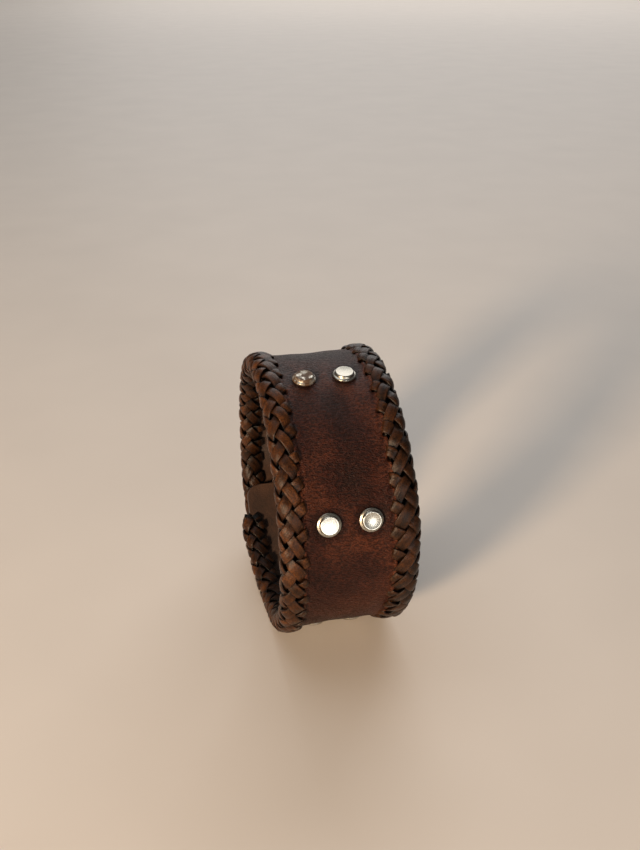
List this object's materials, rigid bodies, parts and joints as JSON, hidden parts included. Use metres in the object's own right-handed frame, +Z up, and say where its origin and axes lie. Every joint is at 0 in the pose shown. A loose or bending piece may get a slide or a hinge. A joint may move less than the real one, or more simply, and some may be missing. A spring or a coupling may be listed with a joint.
{
  "type": "leather cuff bracelet",
  "caption": "Leather cuff bracelet with braided laced edges, paired metal rivets and a snap closure at the back.",
  "frame": {"origin": "on the surface the cuff stands on, under the middle of its outer box", "axes": "+X along the cuff's axis, from the left laced edge to the right; +Z up from the resting flat; the front rivets face -Y and the closure is at +Y"},
  "size_m": [0.0342, 0.0789, 0.076],
  "materials": {
    "strap_leather": "smooth full grain, burnished",
    "lace_leather": "semi gloss flat lace",
    "rivet_nickel": "worn nickel plate",
    "snap_nickel": "worn nickel plate"
  },
  "bodies": {
    "cuff_body": {"strap_main": "strap_leather", "lacing_left_main": "lace_leather", "lacing_right_main": "lace_leather", "rivet_cap_top_left": "rivet_nickel", "rivet_cap_top_right": "rivet_nickel", "rivet_cap_front_left": "rivet_nickel", "rivet_cap_front_right": "rivet_nickel", "rivet_cap_bottom_left": "rivet_nickel", "rivet_cap_bottom_right": "rivet_nickel", "rivet_post_top_left": "rivet_nickel", "rivet_post_top_right": "rivet_nickel", "rivet_post_front_left": "rivet_nickel", "rivet_post_front_right": "rivet_nickel", "rivet_post_bottom_left": "rivet_nickel", "rivet_post_bottom_right": "rivet_nickel", "snap_stud": "snap_nickel", "snap_stud_post": "snap_nickel"},
    "upper_arm": {"strap_upper_arm": "strap_leather", "lacing_left_upper_arm": "lace_leather", "lacing_right_upper_arm": "lace_leather"},
    "closure_flap": {"strap_flap": "strap_leather", "lacing_left_flap": "lace_leather", "lacing_right_flap": "lace_leather", "snap_cap": "snap_nickel", "snap_socket": "snap_nickel"}
  },
  "joints": [
    {"name": "upper_arm_flex", "type": "hinge", "parent": "cuff_body", "child": "upper_arm", "pos_m": [0, 0.03609, 0.04754], "axis": [1, 0, 0], "range_deg": [0, 25], "stiffness_Nm_per_rad": 0.1},
    {"name": "flap_peel", "type": "hinge", "parent": "upper_arm", "child": "closure_flap", "pos_m": [0, 0.03805, 0.01855], "axis": [1, 0, 0], "range_deg": [0, 50], "stiffness_Nm_per_rad": 0.02}
  ]
}
